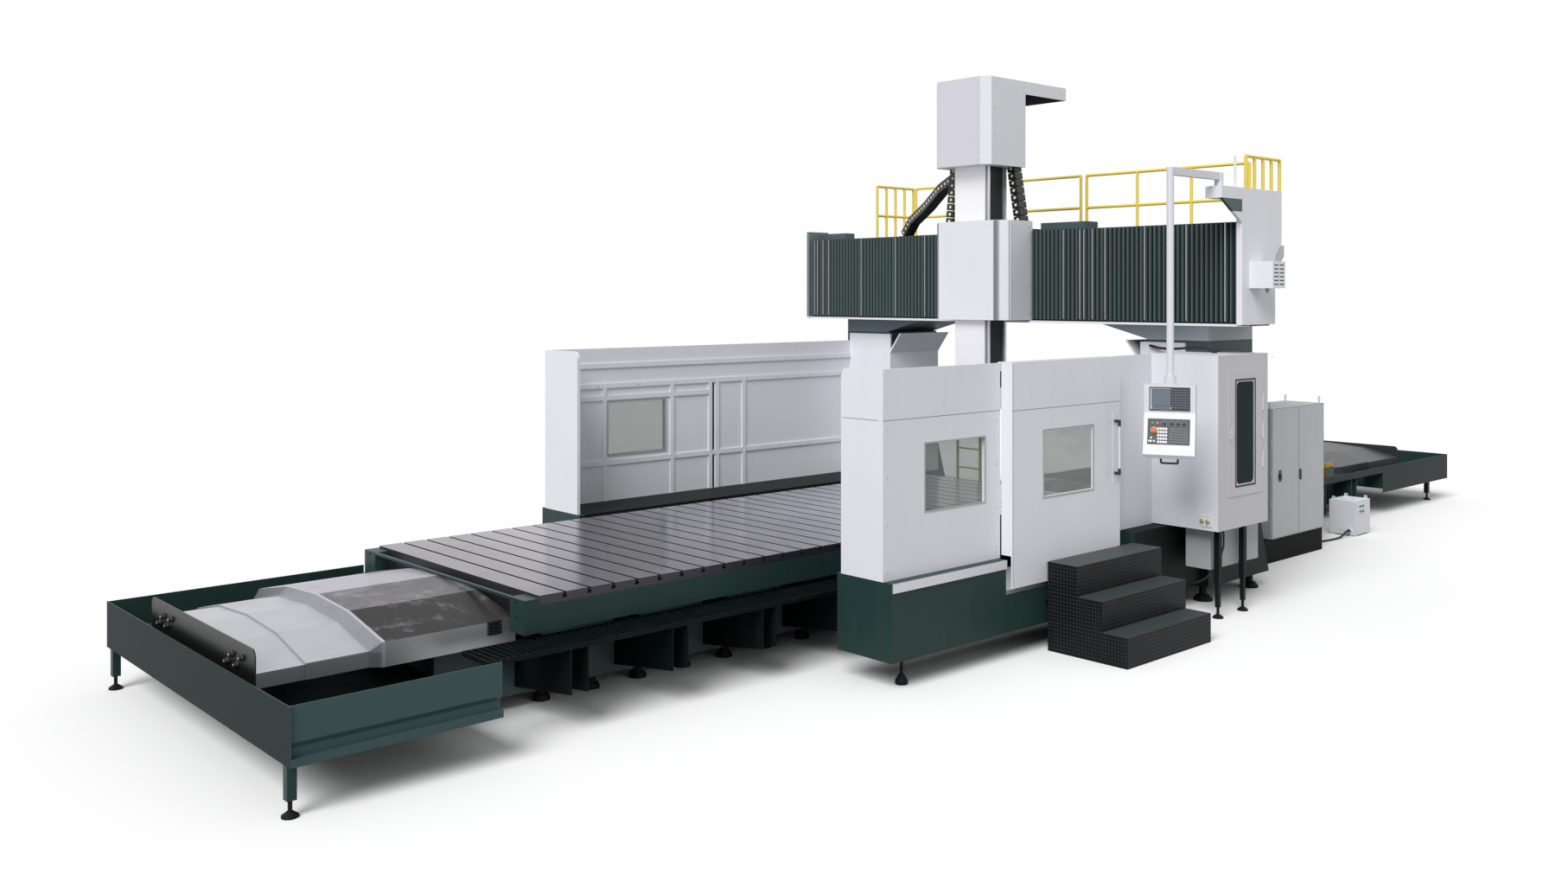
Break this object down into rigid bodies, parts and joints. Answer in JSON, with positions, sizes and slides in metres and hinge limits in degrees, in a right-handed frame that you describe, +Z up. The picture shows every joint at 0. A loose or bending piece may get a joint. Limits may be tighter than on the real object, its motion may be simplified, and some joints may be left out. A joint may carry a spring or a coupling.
{
  "type": "bridge machining centre",
  "caption": "Bridge-type machining centre with a travelling slotted table under telescopic covers, columns, a crossbeam saddle with a vertical ram, guards, tool magazine and pendant.",
  "frame": {"origin": "on the floor, under the middle levelling pad of the bed", "axes": "+X along the table travel towards the rear, +Y along the crossbeam to the left, +Z up"},
  "size_m": [20.805, 7.38, 6.35],
  "materials": {
    "white_paint": "satin",
    "green_paint": "satin",
    "casting": "painted",
    "ground_steel": "ground",
    "cover_steel": "brushed",
    "bellows_cloth": "pleated",
    "chain_plastic": "matte",
    "black_metal": "matte",
    "window": "clear",
    "dark_window": "tinted",
    "rail_yellow": "gloss",
    "step_plate": "chequered",
    "grey_paint": "satin",
    "cable": "matte",
    "disc_steel": "machined",
    "red_plastic": "gloss",
    "black_plastic": "matte",
    "green_plastic": "gloss",
    "yellow_plastic": "gloss",
    "pendant_grey": "satin"
  },
  "bodies": {
    "frame": {"bed": "casting", "guide_rails": "ground_steel", "levelling_feet": "black_metal", "front_tray": "green_paint", "rear_tray": "green_paint", "walkways": "green_paint", "columns": "casting", "crossbeam": "casting", "beam_end_covers": "white_paint", "bellows_left": "bellows_cloth", "bellows_right": "bellows_cloth", "platform": "rail_yellow", "guard_bases": "green_paint", "guard_panels": "white_paint", "guard_windows": "window", "steps": "step_plate", "magazine_cabinet": "white_paint", "electrical_cabinet": "grey_paint", "transformer_box": "white_paint", "transformer_cable": "cable", "pendant_bracket": "white_paint", "cover_fixed_ends": "cover_steel"},
    "table": {"table": "ground_steel", "table_skirt": "green_paint", "cover_table_ends": "cover_steel"},
    "front_cover_2": {"front_cover_2": "cover_steel"},
    "front_cover_3": {"front_cover_3": "cover_steel"},
    "front_cover_4": {"front_cover_4": "cover_steel"},
    "front_cover_5": {"front_cover_5": "cover_steel"},
    "front_cover_6": {"front_cover_6": "cover_steel"},
    "front_cover_7": {"front_cover_7": "cover_steel"},
    "rear_cover_2": {"rear_cover_2": "cover_steel"},
    "rear_cover_3": {"rear_cover_3": "cover_steel"},
    "rear_cover_4": {"rear_cover_4": "cover_steel"},
    "rear_cover_5": {"rear_cover_5": "cover_steel"},
    "rear_cover_6": {"rear_cover_6": "cover_steel"},
    "rear_cover_7": {"rear_cover_7": "cover_steel"},
    "saddle": {"saddle": "casting", "saddle_cover": "white_paint", "energy_chains": "chain_plastic"},
    "ram": {"ram": "ground_steel", "head_cover": "white_paint"},
    "spindle": {"spindle": "disc_steel"},
    "guard_door": {"guard_door": "white_paint", "guard_door_glass": "window"},
    "magazine_door": {"magazine_door": "white_paint", "magazine_door_glass": "dark_window"},
    "tool_disc": {"tool_disc": "disc_steel"},
    "cabinet_door_left": {"cabinet_door_left": "grey_paint"},
    "cabinet_door_right": {"cabinet_door_right": "grey_paint"},
    "main_switch": {"main_switch": "red_plastic"},
    "pendant_arm": {"pendant_arm": "grey_paint"},
    "pendant_panel": {"pendant_panel": "pendant_grey"},
    "emergency_stop": {"emergency_stop": "red_plastic"},
    "mode_knob": {"mode_knob": "black_plastic"},
    "feed_knob": {"feed_knob": "black_plastic"},
    "rapid_knob": {"rapid_knob": "black_plastic"},
    "speed_knob": {"speed_knob": "black_plastic"},
    "start_button": {"start_button": "green_plastic"},
    "hold_button": {"hold_button": "yellow_plastic"}
  },
  "joints": [
    {"name": "table_slide", "type": "slide", "parent": "frame", "child": "table", "axis": [1, 0, 0], "range_m": [0, 7.1]},
    {"name": "front_cover_2_slide", "type": "slide", "parent": "frame", "child": "front_cover_2", "axis": [1, 0, 0], "range_m": [0, 0.7813]},
    {"name": "front_cover_3_slide", "type": "slide", "parent": "frame", "child": "front_cover_3", "axis": [1, 0, 0], "range_m": [0, 1.4206]},
    {"name": "front_cover_4_slide", "type": "slide", "parent": "frame", "child": "front_cover_4", "axis": [1, 0, 0], "range_m": [0, 2.5569]},
    {"name": "front_cover_5_slide", "type": "slide", "parent": "frame", "child": "front_cover_5", "axis": [1, 0, 0], "range_m": [0, 3.6931]},
    {"name": "front_cover_6_slide", "type": "slide", "parent": "frame", "child": "front_cover_6", "axis": [1, 0, 0], "range_m": [0, 4.8294]},
    {"name": "front_cover_7_slide", "type": "slide", "parent": "frame", "child": "front_cover_7", "axis": [1, 0, 0], "range_m": [0, 5.9657]},
    {"name": "rear_cover_2_slide", "type": "slide", "parent": "frame", "child": "rear_cover_2", "axis": [1, 0, 0], "range_m": [0, 0.7813]},
    {"name": "rear_cover_3_slide", "type": "slide", "parent": "frame", "child": "rear_cover_3", "axis": [1, 0, 0], "range_m": [0, 1.4206]},
    {"name": "rear_cover_4_slide", "type": "slide", "parent": "frame", "child": "rear_cover_4", "axis": [1, 0, 0], "range_m": [0, 2.5569]},
    {"name": "rear_cover_5_slide", "type": "slide", "parent": "frame", "child": "rear_cover_5", "axis": [1, 0, 0], "range_m": [0, 3.6931]},
    {"name": "rear_cover_6_slide", "type": "slide", "parent": "frame", "child": "rear_cover_6", "axis": [1, 0, 0], "range_m": [0, 4.8294]},
    {"name": "rear_cover_7_slide", "type": "slide", "parent": "frame", "child": "rear_cover_7", "axis": [1, 0, 0], "range_m": [0, 5.9657]},
    {"name": "saddle_slide", "type": "slide", "parent": "frame", "child": "saddle", "axis": [0, 1, 0], "range_m": [-2.1, 2.1], "deforming": ["bellows_left", "bellows_right"]},
    {"name": "ram_slide", "type": "slide", "parent": "saddle", "child": "ram", "axis": [0, 0, 1], "range_m": [-0.65, 0.35], "deforming": ["energy_chains"]},
    {"name": "spindle_spin", "type": "hinge", "parent": "ram", "child": "spindle", "pos_m": [-0.237, 0, 2], "axis": [0, 0, 1], "continuous": true},
    {"name": "guard_door_slide", "type": "slide", "parent": "frame", "child": "guard_door", "axis": [1, 0, 0], "range_m": [-1.6, 0]},
    {"name": "magazine_door_hinge", "type": "hinge", "parent": "frame", "child": "magazine_door", "pos_m": [0.503, -3.5103, 2.05], "axis": [0, 0, 1], "range_deg": [0, 90]},
    {"name": "tool_disc_turn", "type": "hinge", "parent": "frame", "child": "tool_disc", "pos_m": [0.095, -3.17, 2.05], "axis": [0, 1, 0], "continuous": true},
    {"name": "cabinet_door_left_hinge", "type": "hinge", "parent": "frame", "child": "cabinet_door_left", "pos_m": [3.052, -2.2775, 1.2], "axis": [0, 0, -1], "range_deg": [0, 110]},
    {"name": "cabinet_door_right_hinge", "type": "hinge", "parent": "frame", "child": "cabinet_door_right", "pos_m": [4.538, -2.2775, 1.2], "axis": [0, 0, 1], "range_deg": [0, 110]},
    {"name": "main_switch_turn", "type": "hinge", "parent": "cabinet_door_left", "child": "main_switch", "pos_m": [3.27, -2.29, 1.14], "axis": [0, -1, 0], "range_deg": [0, 90]},
    {"name": "pendant_arm_swivel", "type": "hinge", "parent": "frame", "child": "pendant_arm", "pos_m": [-0.35, -3.45, 4.8], "axis": [0, 0, 1], "range_deg": [0, 90]},
    {"name": "pendant_panel_swivel", "type": "hinge", "parent": "pendant_arm", "child": "pendant_panel", "pos_m": [-1.33, -3.45, 2.7], "axis": [0, 0, 1], "range_deg": [-60, 60]},
    {"name": "emergency_stop_press", "type": "slide", "parent": "pendant_panel", "child": "emergency_stop", "axis": [0.8631, 0.4209, -0.2791], "range_m": [0, 0.006], "stiffness_N_per_m": 1500},
    {"name": "mode_knob_turn", "type": "hinge", "parent": "pendant_panel", "child": "mode_knob", "pos_m": [-1.4357, -3.44147, 2.25245], "axis": [-0.8631, -0.4209, 0.2791], "range_deg": [-135, 135]},
    {"name": "feed_knob_turn", "type": "hinge", "parent": "pendant_panel", "child": "feed_knob", "pos_m": [-1.40238, -3.50978, 2.25245], "axis": [-0.8631, -0.4209, 0.2791], "range_deg": [-135, 135]},
    {"name": "rapid_knob_turn", "type": "hinge", "parent": "pendant_panel", "child": "rapid_knob", "pos_m": [-1.37433, -3.5673, 2.25245], "axis": [-0.8631, -0.4209, 0.2791], "range_deg": [-135, 135]},
    {"name": "speed_knob_turn", "type": "hinge", "parent": "pendant_panel", "child": "speed_knob", "pos_m": [-1.34803, -3.62123, 2.25245], "axis": [-0.8631, -0.4209, 0.2791], "range_deg": [-135, 135]},
    {"name": "start_button_press", "type": "slide", "parent": "pendant_panel", "child": "start_button", "axis": [0.8631, 0.4209, -0.2791], "range_m": [0, 0.004], "stiffness_N_per_m": 800},
    {"name": "hold_button_press", "type": "slide", "parent": "pendant_panel", "child": "hold_button", "axis": [0.8631, 0.4209, -0.2791], "range_m": [0, 0.004], "stiffness_N_per_m": 800}
  ],
  "couplings": [
    {"joint": "front_cover_2_slide", "follows": "table_slide", "ratio": 0.10976},
    {"joint": "front_cover_3_slide", "follows": "table_slide", "ratio": 0.1998},
    {"joint": "front_cover_4_slide", "follows": "table_slide", "ratio": 0.35984},
    {"joint": "front_cover_5_slide", "follows": "table_slide", "ratio": 0.51988},
    {"joint": "front_cover_6_slide", "follows": "table_slide", "ratio": 0.67992},
    {"joint": "front_cover_7_slide", "follows": "table_slide", "ratio": 0.83996},
    {"joint": "rear_cover_2_slide", "follows": "table_slide", "ratio": 0.10976},
    {"joint": "rear_cover_3_slide", "follows": "table_slide", "ratio": 0.1998},
    {"joint": "rear_cover_4_slide", "follows": "table_slide", "ratio": 0.35984},
    {"joint": "rear_cover_5_slide", "follows": "table_slide", "ratio": 0.51988},
    {"joint": "rear_cover_6_slide", "follows": "table_slide", "ratio": 0.67992},
    {"joint": "rear_cover_7_slide", "follows": "table_slide", "ratio": 0.83996}
  ]
}
